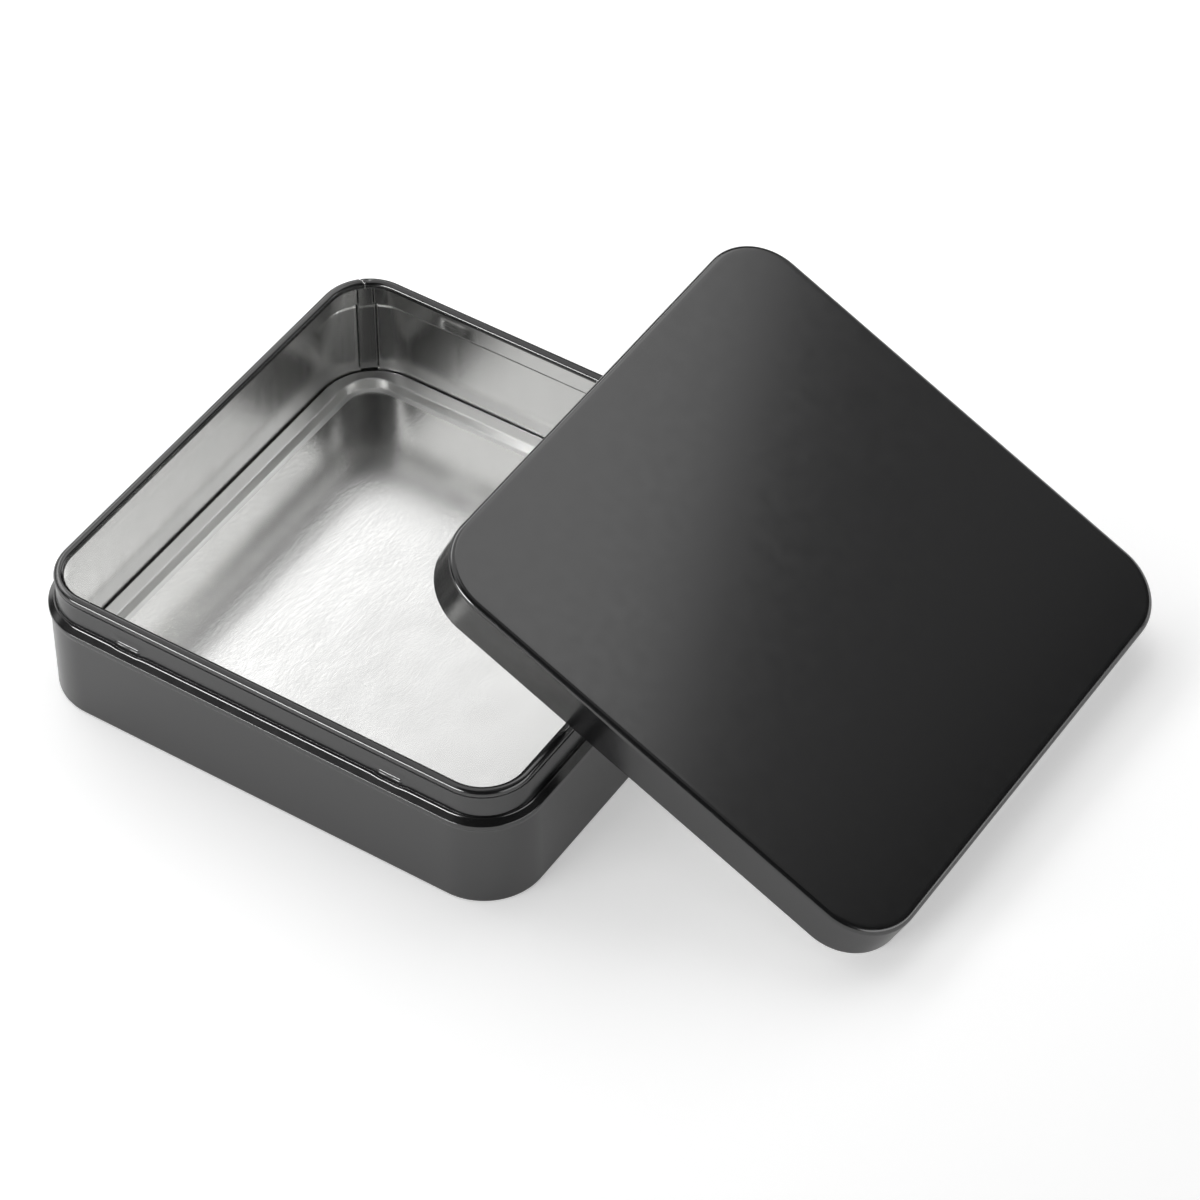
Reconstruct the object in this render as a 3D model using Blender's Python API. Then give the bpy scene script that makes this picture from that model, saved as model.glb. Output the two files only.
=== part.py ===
"""Square slip lid tin, open: the body, its bottom plate and the lid that leans over the rim beside it.

Metres, +Z up. The origin is on the table under the middle of the body. +X runs along the front wall to the
right and +Y runs to the back. Every piece is one thin sheet. A section through the sheet is an outline of
(inset, height) points, and each point of it is carried round a square with round corners.
"""

import math
from collections import namedtuple

import bpy
import numpy as np

# Tinplate
SHEET = 0.0003
SEAT_GAP = 0.0003

# Body: overall size, walls and corners
OVERALL_SIDE = 0.1500
BASE_HEIGHT = 0.0396
WALL_CORNER_RADIUS = 0.0172
FOOT_BEND_RADIUS = 0.0011

# Shoulder bead under the neck
BEAD_BULGE = 0.00055
BEAD_TAPER = 0.00087
BEAD_FLAT = 0.00042
BEAD_BLEND_RADIUS = 0.0008
BEAD_CREST_RADIUS = 0.00045
CHAMFER_HEIGHT = 0.00146
SHOULDER_EDGE_INSET = 0.00107
SHOULDER_EDGE_RADIUS = 0.00045
SHELF_RISE = 0.0002
NECK_FOOT_RADIUS = 0.00025

# Neck and curled rim
NECK_INSET = 0.00233
NECK_HEIGHT = 0.0089
NECK_CORNER_SHIFT = 0.0009
CURL_RADIUS = 0.001385
CURL_STANDOFF = 0.00037
CURL_END_ANGLE = math.radians(-100)

# Stop beads pressed out of the neck on the front and back
STOP_BEAD_LENGTH = 0.0088
STOP_BEAD_WIDTH = 0.0022
STOP_BEAD_HEIGHT = 0.0005
STOP_BEAD_RISE = 0.0014
STOP_BEAD_SPACING = 0.0814
STOP_BEAD_SHIFT = 0.0011

# Lap seam inside the back left corner
SEAM_WIDTH = 0.0047
SEAM_RAISE = 0.00035
SEAM_RAMP = 0.0004
SEAM_END_MARGIN = 0.0006
SEAM_ANGLE = math.radians(51.2)

# Bottom plate, folded over the body's hem
LEDGE_HEIGHT = 0.0037
LEDGE_EDGE_RADIUS = 0.0006
LEG_CLEARANCE = 0.0004
RISER_TOP_INSET = 0.0050
RISER_FOOT_INSET = 0.0058
RISER_TOP_CORNER_RADIUS = 0.0100
RISER_FOOT_CORNER_RADIUS = 0.0097
RISER_TOP_BEND = 0.0005
RISER_FOOT_BEND = 0.0004
FLOOR_HEIGHT = 0.0010
FLOOR_BORDER = 0.0020
HEM_BEND_RADIUS = 0.0007

# Lid
LID_HEIGHT = 0.0133
LID_CORNER_RADIUS = 0.01635
LID_FOLD_RADIUS = 0.00164
LID_PANEL_BORDER = 0.0010
LID_CURL_RADIUS = 0.00075
LID_CURL_END_ANGLE = math.radians(70)

# Where the lid leans: its low edge on the table, its skirt over the right rim
LID_FOOT_DISTANCE = 0.0847
LID_RIM_GAP = 0.0032
LID_BACK_SHIFT = 0.0331
LID_LEAN_ANGLE = math.radians(0.955)

# Facets
CORNER_SEGMENTS = 8
FOOT_SEGMENTS = 3
FOLD_SEGMENTS = 3
CREASE_SEGMENTS = 1
CURL_SEGMENTS = 10
LID_CURL_SEGMENTS = 8
SHARP_ANGLE = math.radians(35)

# Finishes: colour, metallic and roughness
BLACK_PAINT = ((0.05, 0.05, 0.052), 0.0, 0.35)
LID_PAINT = ((0.05, 0.05, 0.052), 0.0, 0.38)
BARE_TINPLATE = ((0.82, 0.82, 0.81), 1.0, 0.3)

WALL_SIDE = OVERALL_SIDE - 2 * BEAD_BULGE
HALF_SIDE = WALL_SIDE / 2
NECK_FOOT_HEIGHT = BASE_HEIGHT - NECK_HEIGHT
SHOULDER_EDGE_HEIGHT = NECK_FOOT_HEIGHT - SHELF_RISE
BEAD_TOP_HEIGHT = SHOULDER_EDGE_HEIGHT - CHAMFER_HEIGHT
BEAD_LOW_HEIGHT = BEAD_TOP_HEIGHT - BEAD_FLAT
BEAD_START_HEIGHT = BEAD_LOW_HEIGHT - BEAD_TAPER
NECK_CENTRE_INSET = WALL_CORNER_RADIUS - NECK_CORNER_SHIFT
CURL_CENTRE_INSET = NECK_INSET + CURL_RADIUS - CURL_STANDOFF
CURL_CENTRE_HEIGHT = BASE_HEIGHT - CURL_RADIUS
STOP_BEAD_CENTRE_HEIGHT = NECK_FOOT_HEIGHT + STOP_BEAD_RISE
RISER_TOP_CENTRE_INSET = RISER_TOP_INSET + RISER_TOP_CORNER_RADIUS
RISER_FOOT_CENTRE_INSET = RISER_FOOT_INSET + RISER_FOOT_CORNER_RADIUS
HEM_REACH = RISER_TOP_INSET - SHEET - SEAT_GAP
HEM_LEG_TOP = LEDGE_HEIGHT - SHEET - SEAT_GAP
LEG_INSET = SHEET + LEG_CLEARANCE
SEAM_FOOT_HEIGHT = LEDGE_HEIGHT + SEAM_END_MARGIN
SEAM_TOP_HEIGHT = BEAD_START_HEIGHT - SEAM_END_MARGIN

# One point of a section: inset from the wall's outer face, height, radius of the bend there, number of
# segments in that bend, and inset of the centre on which the point turns each corner of the square.
Point = namedtuple("Point", "inset height bend segments centre")

# One station of the path round the square: corner signs, outward direction, place along a straight side
# (None in a corner), and the angle that it has in its corner (None on a straight side).
Station = namedtuple("Station", "corner normal along angle")


def corner_angles(extra):
    """Even steps through a quarter turn, with any extra angles in place of the steps too near to them."""
    step = math.pi / 2 / CORNER_SEGMENTS
    angles = [k * step for k in range(CORNER_SEGMENTS + 1)]
    if not extra:
        return angles
    kept = [a for a in angles if all(abs(a - b) > step / 2 for b in extra)]
    return sorted(kept + list(extra))


def seam_angles():
    """The four angles where the seam's ramps start and end, measured from the left wall's normal."""
    radius = WALL_CORNER_RADIUS - SHEET
    half = SEAM_WIDTH / 2 / radius
    ramp = SEAM_RAMP / radius
    return (SEAM_ANGLE - half, SEAM_ANGLE - half + ramp, SEAM_ANGLE + half - ramp, SEAM_ANGLE + half)


def stop_bead_centres(side_sign):
    """Places of the two stop beads along X: the back pair is the front pair turned half round."""
    shift = side_sign * STOP_BEAD_SHIFT
    return (shift - STOP_BEAD_SPACING / 2, shift + STOP_BEAD_SPACING / 2)


def stop_bead_stations(side_sign):
    """Places along X of the section planes that a pair of stop beads needs."""
    flat_end = (STOP_BEAD_LENGTH - STOP_BEAD_WIDTH) / 2
    ends = (-STOP_BEAD_LENGTH / 2, -flat_end, flat_end, STOP_BEAD_LENGTH / 2)
    return [centre + end for centre in stop_bead_centres(side_sign) for end in ends]


def square_path(with_details):
    """Stations anticlockwise round the square from the front wall, seen from above."""
    stations = []
    corners = ((1, -1, 270), (1, 1, 0), (-1, 1, 90), (-1, -1, 180))
    for sign_x, sign_y, start in corners:
        seam_corner = with_details and (sign_x, sign_y) == (-1, 1)
        turned = [math.pi / 2 - a for a in seam_angles()] if seam_corner else []
        for angle in corner_angles(turned):
            heading = math.radians(start) + angle
            normal = (math.cos(heading), math.sin(heading))
            seam_angle = math.pi / 2 - angle if seam_corner else None
            stations.append(Station((sign_x, sign_y), normal, None, seam_angle))
        if with_details and (sign_x, sign_y) == (1, 1):
            for along in sorted(stop_bead_stations(1), reverse=True):
                stations.append(Station((0, 1), (0, 1), along, None))
        if with_details and (sign_x, sign_y) == (-1, -1):
            for along in sorted(stop_bead_stations(-1)):
                stations.append(Station((0, -1), (0, -1), along, None))
    return stations


def offset_points(points, distance):
    """The same bends on the sheet's other face: each run moves to its right by distance."""
    shifted = []
    for k, point in enumerate(points):
        here = np.array((point.inset, point.height))
        before = points[k - 1] if k > 0 else None
        after = points[k + 1] if k + 1 < len(points) else None
        runs = []
        if before:
            runs.append(here - (before.inset, before.height))
        if after:
            runs.append(np.array((after.inset, after.height)) - here)
        rights = [np.array((run[1], -run[0])) / np.linalg.norm(run) for run in runs]
        middle = rights[0] + rights[-1]
        move = middle * 2 * distance / middle.dot(middle)
        turn = 0.0
        if len(runs) == 2:
            cross = runs[0][0] * runs[1][1] - runs[0][1] * runs[1][0]
            turn = math.copysign(distance, cross) if point.bend else 0.0
        bend = max(point.bend + turn, 0.0)
        shifted.append(point._replace(inset=here[0] + move[0], height=here[1] + move[1], bend=bend))
    return shifted


def bent(points):
    """The section's corners rounded: rows of (inset, height, corner centre inset)."""
    rows = []
    for k, point in enumerate(points):
        here = np.array((point.inset, point.height))
        if point.bend <= 0.0 or k in (0, len(points) - 1):
            rows.append((point.inset, point.height, point.centre))
            continue
        back = np.array((points[k - 1].inset, points[k - 1].height)) - here
        ahead = np.array((points[k + 1].inset, points[k + 1].height)) - here
        back /= np.linalg.norm(back)
        ahead /= np.linalg.norm(ahead)
        half_angle = math.acos(np.clip(back.dot(ahead), -1, 1)) / 2
        bisector = (back + ahead) / np.linalg.norm(back + ahead)
        centre = here + bisector * point.bend / math.sin(half_angle)
        start = here + back * point.bend / math.tan(half_angle) - centre
        sweep = math.pi - 2 * half_angle
        side = math.copysign(1, back[1] * ahead[0] - back[0] * ahead[1])
        for step in range(point.segments + 1):
            a = side * sweep * step / point.segments
            turned = (start[0] * math.cos(a) - start[1] * math.sin(a),
                      start[0] * math.sin(a) + start[1] * math.cos(a))
            rows.append((centre[0] + turned[0], centre[1] + turned[1], point.centre))
    return rows


def curl_arc(centre_inset, centre_height, radius, start, end, segments, corner_centre):
    """Rows of a round curl from one angle to another."""
    rows = []
    for step in range(segments + 1):
        a = start + (end - start) * step / segments
        rows.append((centre_inset + radius * math.cos(a), centre_height + radius * math.sin(a),
                     corner_centre))
    return rows


def carried(rows, stations, lift=None):
    """Positions of every row at every station; lift(rows, station) may move rows inwards there."""
    rows = np.array(rows)
    inset, height, centre = rows.T
    rings = []
    for station in stations:
        moved = inset + lift(rows, station) if lift else inset
        normal = np.array(station.normal)
        if station.along is None:
            corner = np.array(station.corner)
            flat = corner * (HALF_SIDE - centre)[:, None] + normal * (centre - moved)[:, None]
        else:
            flat = normal * (HALF_SIDE - moved)[:, None] + np.array((station.along, 0.0))
        rings.append(np.column_stack((flat, height)))
    return np.array(rings)


def mesh_from(name, vertices, faces):
    """A smooth shaded mesh whose sharp folds keep their edges."""
    mesh = bpy.data.meshes.new(name)
    mesh.from_pydata([tuple(v) for v in vertices], [], faces)
    mesh.validate()
    mesh.shade_smooth()
    mesh.set_sharp_from_angle(angle=SHARP_ANGLE)
    return mesh


def ring_faces(count, ring_size, closed):
    """Quads between neighbouring rings; closed joins the last row of each ring to its first."""
    faces = []
    for k in range(count):
        here = k * ring_size
        there = (k + 1) % count * ring_size
        for j in range(ring_size if closed else ring_size - 1):
            after = (j + 1) % ring_size
            faces.append((here + after, here + j, there + j, there + after))
    return faces


def tube_mesh(name, rings):
    """A closed section carried right round the square."""
    count, ring_size = rings.shape[:2]
    return mesh_from(name, rings.reshape(-1, 3), ring_faces(count, ring_size, True))


def pan_mesh(name, rings):
    """An open section carried round the square, its two ends closed by flat panels."""
    count, ring_size = rings.shape[:2]
    faces = ring_faces(count, ring_size, False)
    faces.append([k * ring_size for k in reversed(range(count))])
    faces.append([k * ring_size + ring_size - 1 for k in range(count)])
    return mesh_from(name, rings.reshape(-1, 3), faces)


def paint(name, color, metallic, roughness):
    """A plain finish."""
    material = bpy.data.materials.new(name)
    material.use_nodes = True
    shader = material.node_tree.nodes["Principled BSDF"]
    shader.inputs["Base Color"].default_value = (*color, 1)
    shader.inputs["Metallic"].default_value = metallic
    shader.inputs["Roughness"].default_value = roughness
    return material


def add_piece(name, mesh, material):
    """One sheet as its own object."""
    piece = bpy.data.objects.new(name, mesh)
    mesh.materials.append(material)
    bpy.context.scene.collection.objects.link(piece)
    return piece


def body_section():
    """The body's sheet from the hem's upturned end, round the foot and up to the curled rim."""
    wall = WALL_CORNER_RADIUS
    neck = NECK_CENTRE_INSET
    hem = RISER_TOP_CENTRE_INSET
    bead_rows = [STOP_BEAD_CENTRE_HEIGHT + k * STOP_BEAD_WIDTH / 2 for k in (-1, 0, 1)]
    outer = [
        Point(HEM_REACH, HEM_LEG_TOP, 0.0, 0, hem),
        Point(HEM_REACH, 0.0, HEM_BEND_RADIUS, FOLD_SEGMENTS, hem),
        Point(0.0, 0.0, FOOT_BEND_RADIUS, FOOT_SEGMENTS, wall),
        Point(0.0, BEAD_START_HEIGHT, BEAD_BLEND_RADIUS, CREASE_SEGMENTS, wall),
        Point(-BEAD_BULGE, BEAD_LOW_HEIGHT, BEAD_CREST_RADIUS, CREASE_SEGMENTS, wall),
        Point(-BEAD_BULGE, BEAD_TOP_HEIGHT, BEAD_CREST_RADIUS, CREASE_SEGMENTS, wall),
        Point(SHOULDER_EDGE_INSET, SHOULDER_EDGE_HEIGHT, SHOULDER_EDGE_RADIUS, CREASE_SEGMENTS, wall),
        Point(NECK_INSET, NECK_FOOT_HEIGHT, NECK_FOOT_RADIUS, CREASE_SEGMENTS, neck),
    ]
    outer += [Point(NECK_INSET, height, 0.0, 0, neck) for height in bead_rows]
    outer_end = math.acos((NECK_INSET - CURL_CENTRE_INSET) / CURL_RADIUS)
    curl_inner_radius = CURL_RADIUS - SHEET
    inner_end = math.acos((NECK_INSET + SHEET - CURL_CENTRE_INSET) / curl_inner_radius)
    neck_top = Point(NECK_INSET, CURL_CENTRE_HEIGHT, 0.0, 0, neck)
    outer_rows = bent(outer + [neck_top])[:-1]
    outer_rows += curl_arc(CURL_CENTRE_INSET, CURL_CENTRE_HEIGHT, CURL_RADIUS, math.tau - outer_end,
                           CURL_END_ANGLE, CURL_SEGMENTS, neck)
    inner = offset_points(outer + [neck_top], SHEET)
    seam_rows = (SEAM_FOOT_HEIGHT, SEAM_FOOT_HEIGHT + SEAM_RAMP, SEAM_TOP_HEIGHT - SEAM_RAMP,
                 SEAM_TOP_HEIGHT)
    wall_rows = [Point(SHEET, height, 0.0, 0, wall) for height in seam_rows]
    inner_rows = bent(inner[:3] + wall_rows + inner[3:])[:-1]
    inner_rows += curl_arc(CURL_CENTRE_INSET, CURL_CENTRE_HEIGHT, curl_inner_radius,
                           math.tau - inner_end, CURL_END_ANGLE, CURL_SEGMENTS, neck)
    return outer_rows + inner_rows[::-1]


def body_details(rows, station):
    """How far each row moves inwards at a station, for the stop beads and the lap seam."""
    move = np.zeros(len(rows))
    inset, height = rows[:, 0], rows[:, 1]
    if station.along is not None:
        flat_end = (STOP_BEAD_LENGTH - STOP_BEAD_WIDTH) / 2
        centres = stop_bead_centres(station.normal[1])
        off = min(max(abs(station.along - centre) - flat_end, 0.0) for centre in centres)
        distance = np.hypot(off, height - STOP_BEAD_CENTRE_HEIGHT)
        swell = np.cos(np.clip(distance / STOP_BEAD_WIDTH, 0, 1 / 2) * math.pi) ** 2
        on_neck = abs(inset - NECK_INSET - SHEET / 2) < SHEET
        move -= STOP_BEAD_HEIGHT * swell * on_neck
    if station.angle is not None:
        radius = WALL_CORNER_RADIUS - SHEET
        from_edge = SEAM_WIDTH / 2 - abs(station.angle - SEAM_ANGLE) * radius
        from_end = np.minimum(height - SEAM_FOOT_HEIGHT, SEAM_TOP_HEIGHT - height)
        share = np.clip(np.minimum(from_edge, from_end) / SEAM_RAMP, 0, 1)
        on_inner_wall = abs(inset - SHEET) < SHEET / 2
        move += SEAM_RAISE * share * on_inner_wall
    return move


def plate_section():
    """The bottom plate: below from the floor out to its hooked edge, then back over the ledge."""
    wall = WALL_CORNER_RADIUS
    top = [
        Point(LEG_INSET, FOOT_BEND_RADIUS, 0.0, 0, wall),
        Point(LEG_INSET, LEDGE_HEIGHT, LEDGE_EDGE_RADIUS, FOLD_SEGMENTS, wall),
        Point(RISER_TOP_INSET, LEDGE_HEIGHT, RISER_TOP_BEND, FOLD_SEGMENTS, RISER_TOP_CENTRE_INSET),
        Point(RISER_FOOT_INSET, FLOOR_HEIGHT, RISER_FOOT_BEND, FOLD_SEGMENTS, RISER_FOOT_CENTRE_INSET),
        Point(RISER_FOOT_INSET + FLOOR_BORDER, FLOOR_HEIGHT, 0.0, 0, RISER_FOOT_CENTRE_INSET),
    ]
    return bent(offset_points(top, SHEET))[::-1] + bent(top)


def lid_section():
    """The lid: inside from the panel down the skirt to its curled edge, then back up outside."""
    centre = LID_CORNER_RADIUS
    panel_inset = LID_FOLD_RADIUS + LID_PANEL_BORDER
    outer = [
        Point(0.0, LID_CURL_RADIUS, 0.0, 0, centre),
        Point(0.0, LID_HEIGHT, LID_FOLD_RADIUS, FOLD_SEGMENTS, centre),
        Point(panel_inset, LID_HEIGHT, 0.0, 0, centre),
    ]
    sides = []
    for points, radius in ((outer, LID_CURL_RADIUS), (offset_points(outer, SHEET), LID_CURL_RADIUS - SHEET)):
        curl = curl_arc(LID_CURL_RADIUS, LID_CURL_RADIUS, radius, LID_CURL_END_ANGLE, -math.pi,
                        LID_CURL_SEGMENTS, centre)
        sides.append(curl + bent(points)[1:])
    return sides[1][::-1] + sides[0]


def lean_lid(lid):
    """Tilt the lid over the right rim and lower it until its lowest point stands on the table."""
    rise = BASE_HEIGHT + LID_RIM_GAP
    tilt = math.atan(rise / (LID_FOOT_DISTANCE + CURL_CENTRE_INSET))
    lid.rotation_euler = (LID_LEAN_ANGLE, tilt, 0.0)
    turned = np.array(lid.rotation_euler.to_matrix())
    corners = np.array([vertex.co for vertex in lid.data.vertices]) @ turned.T
    along = HALF_SIDE + LID_FOOT_DISTANCE - HALF_SIDE * math.cos(tilt)
    lid.location = (along, LID_BACK_SHIFT, -corners[:, 2].min())


def build_tin():
    """The three sheets: the body and its bottom plate stand on the table, the lid leans beside them."""
    black_paint = paint("black_paint", *BLACK_PAINT)
    lid_paint = paint("lid_paint", *LID_PAINT)
    bare_tin = paint("bare_tinplate", *BARE_TINPLATE)
    detailed = square_path(True)
    plain = square_path(False)
    body_rings = carried(body_section(), detailed, body_details)
    add_piece("body_wall", tube_mesh("body_wall", body_rings), black_paint)
    add_piece("bottom_plate", pan_mesh("bottom_plate", carried(plate_section(), plain)), bare_tin)
    lid = add_piece("lid", pan_mesh("lid", carried(lid_section(), plain)), lid_paint)
    lean_lid(lid)


for leftover in list(bpy.data.objects):
    bpy.data.objects.remove(leftover, do_unlink=True)
build_tin()
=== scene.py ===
# %% [markdown]
# # A square slip lid tin
#
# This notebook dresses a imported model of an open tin: a black body with bare metal inside, and
# its lid, which leans over the rim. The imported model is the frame, and it says where each sheet
# is. The finer sheets made here have the same measures, so they lie where the frame's sheets do,
# and the cells print how closely.

# %% Load the frame
import math

import bpy
import numpy as np
from mathutils import Matrix, Quaternion, Vector


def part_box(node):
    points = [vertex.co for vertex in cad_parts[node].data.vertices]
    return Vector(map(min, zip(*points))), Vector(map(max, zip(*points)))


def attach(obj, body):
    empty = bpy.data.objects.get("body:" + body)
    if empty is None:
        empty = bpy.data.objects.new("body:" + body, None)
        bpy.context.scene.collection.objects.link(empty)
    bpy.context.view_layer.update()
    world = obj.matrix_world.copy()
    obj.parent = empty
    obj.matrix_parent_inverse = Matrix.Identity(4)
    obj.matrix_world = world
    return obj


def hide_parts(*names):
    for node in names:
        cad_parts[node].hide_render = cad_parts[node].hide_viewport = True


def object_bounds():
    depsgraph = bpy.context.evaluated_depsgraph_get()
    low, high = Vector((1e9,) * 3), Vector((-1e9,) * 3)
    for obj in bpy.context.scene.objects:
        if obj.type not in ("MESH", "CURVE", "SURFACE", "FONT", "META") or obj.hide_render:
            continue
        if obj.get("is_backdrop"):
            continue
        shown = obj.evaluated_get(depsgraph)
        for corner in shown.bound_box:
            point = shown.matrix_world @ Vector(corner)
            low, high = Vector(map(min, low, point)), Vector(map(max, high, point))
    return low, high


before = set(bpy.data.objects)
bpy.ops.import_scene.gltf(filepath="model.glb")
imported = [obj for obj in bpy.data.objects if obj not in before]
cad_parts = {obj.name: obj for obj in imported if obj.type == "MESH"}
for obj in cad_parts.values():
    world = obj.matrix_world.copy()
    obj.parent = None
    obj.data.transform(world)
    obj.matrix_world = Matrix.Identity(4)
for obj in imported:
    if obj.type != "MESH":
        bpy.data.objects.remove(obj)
cad_box = [list(corner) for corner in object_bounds()]
body_low, body_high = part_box("body_wall")

# %% [markdown]
# ## The camera
#
# A product photographer stands back and uses a long lens, so that the square stays nearly
# square. The camera's place was found from the outlines of the tin: 33 degrees to the right of
# the front wall and 46 degrees up. The lens is written in pixels of a 1200 pixel frame and
# turned into millimetres on a 36 mm sensor.

# %% Place the camera
wall_side = 0.1489
focal_pixels = 5036.98
frame_pixels = 1200
sensor_mm = 36.0
turn, climb, roll = (math.radians(a) for a in (33.292, 45.781, -0.223))
camera_distance = 8.97236 * wall_side
camera_right_shift = -0.30771 * wall_side
camera_up_shift = -0.04854 * wall_side
near_clip, far_clip = 0.01, 20


def camera_matrix():
    """Axes right, up and back of a camera aimed at the origin, rolled, then slid right and up."""
    level_share = math.cos(climb)
    back = Vector((math.sin(turn) * level_share, -math.cos(turn) * level_share, math.sin(climb)))
    level = Vector((math.cos(turn), math.sin(turn), 0))
    above = back.cross(level)
    right = math.cos(roll) * level + math.sin(roll) * above
    up = math.cos(roll) * above - math.sin(roll) * level
    place = back * camera_distance - right * camera_right_shift - up * camera_up_shift
    axes = Matrix((right, up, back)).transposed().to_4x4()
    return Matrix.Translation(place) @ axes


camera = bpy.data.objects.new("camera", bpy.data.cameras.new("camera"))
bpy.context.scene.collection.objects.link(camera)
camera.matrix_world = camera_matrix()
camera.data.sensor_width = sensor_mm
camera.data.lens = focal_pixels / frame_pixels * sensor_mm
camera.data.clip_start = near_clip
camera.data.clip_end = far_clip
bpy.context.scene.camera = camera
print("lens", round(camera.data.lens, 1), "mm at", [round(v, 3) for v in camera.location])

# %% [markdown]
# ## One path for every sheet
#
# Body, bottom and lid are all the same idea: a thin section carried round a square with round
# corners. A point of a section has an inset from the wall's outer face, a height, and the inset
# of the centre on which it turns each corner. So a point keeps its own corner radius, and sheets
# inside each other stay parallel.
#
# The path is three arrays with one row for each station round the square. A point at inset u
# with corner centre c lies at `anchor + c * pull - u * outward`. On a straight side pull is
# zero, so only the inset counts. Two more arrays say where a station is: the place along its
# side, or the angle within its corner.

# %% Stations round the square
mm = 0.001
half_side = wall_side / 2
wall_radius = 17.2 * mm
corner_gap = 0.4 * mm
corner_steps = 26
side_count = 15
corner_signs = np.array(((1, -1), (1, 1), (-1, 1), (-1, -1)))
corner_starts = np.radians((270, 0, 90, 180))
side_outward = np.array(((1, 0), (0, 1), (-1, 0), (0, -1)))
side_along = np.array(((0, 1), (-1, 0), (0, -1), (1, 0)))


class Path:
    """Stations anticlockwise round the square: each corner's angles, then the side after it."""

    def __init__(self, corner_angles, side_places):
        anchors, pulls, outwards, places, angles = [], [], [], [], []
        for k in range(4):
            heading = corner_starts[k] + corner_angles[k]
            outward = np.column_stack((np.cos(heading), np.sin(heading)))
            anchors.append(np.repeat(corner_signs[k:k + 1] * half_side, len(heading), 0))
            pulls.append(outward - corner_signs[k])
            outwards.append(outward)
            places.append(np.full((len(heading), 2), np.nan))
            angles.append(np.column_stack((np.full(len(heading), k), corner_angles[k])))
            along = side_places[k][:, None] * side_along[k]
            anchors.append(side_outward[k] * half_side + along)
            pulls.append(np.zeros_like(along, float))
            outwards.append(np.repeat(side_outward[k:k + 1].astype(float), len(along), 0))
            places.append(np.column_stack((np.full(len(along), k), along.sum(1))))
            angles.append(np.full((len(along), 2), np.nan))
        self.anchor = np.concatenate(anchors)
        self.pull = np.concatenate(pulls)
        self.outward = np.concatenate(outwards)
        self.place = np.concatenate(places)
        self.angle = np.concatenate(angles)

    def carry(self, rows, inward=0.0, raised=0.0):
        """Positions, stations by rows: anchor + centre * pull - inset * outward, and a height.

        Rows hold inset, height and centre. Inward is added to the inset and raised to the height.
        """
        inset = rows[:, 0][None, :] + inward
        flat = self.anchor[:, None, :] + rows[:, 2][None, :, None] * self.pull[:, None, :]
        flat = flat - inset[:, :, None] * self.outward[:, None, :]
        height = np.broadcast_to(rows[:, 1][None, :], flat.shape[:2]) + raised
        return np.concatenate((flat, height[:, :, None]), 2)


def even_corners():
    """Four equal lists of corner angles, from 0 to a quarter turn."""
    return [np.linspace(0, math.pi / 2, corner_steps + 1)] * 4


def even_sides():
    """Places along each side, with one close to each corner so that the flat starts at once."""
    reach = half_side - wall_radius - corner_gap
    return [np.linspace(-reach, reach, side_count)] * 4


print("straight run", round(2 * (half_side - wall_radius) / mm, 1), "mm")

# %% [markdown]
# ## Sections with true bends
#
# Pressed sheet has no hard corners. A section is written as a few corner points with a bend
# radius at each, and every bend becomes an arc. A row just before and just after each arc keeps
# the flats flat when they are shaded. The other face of the sheet is the same section moved
# sideways by the sheet's thickness: its bends get tighter or wider by that much, as they do in
# metal.

# %% Bends and the sheet's other face
sheet = 0.3 * mm
guard = 0.12 * mm
least_bend = 0.02 * mm


def other_face(corners, thickness):
    """Corners (inset, height, bend, centre) with each run moved to its right by thickness.

    The bends stay parallel: each radius grows or shrinks by the thickness.
    """
    flat = corners[:, :2]
    runs = np.diff(flat, axis=0)
    runs /= np.linalg.norm(runs, axis=1)[:, None]
    right = np.column_stack((runs[:, 1], -runs[:, 0]))
    before = np.vstack((right[:1], right))
    after = np.vstack((right, right[-1:]))
    middle = before + after
    moved = flat + middle * 2 * thickness / (middle ** 2).sum(1)[:, None]
    turn = np.r_[0, np.sign(runs[:-1, 0] * runs[1:, 1] - runs[:-1, 1] * runs[1:, 0]), 0]
    bend = np.maximum(corners[:, 2] + turn * thickness, least_bend)
    bend = np.where(corners[:, 2] > 0, bend, 0)
    return np.column_stack((moved, bend, corners[:, 3]))


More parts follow.
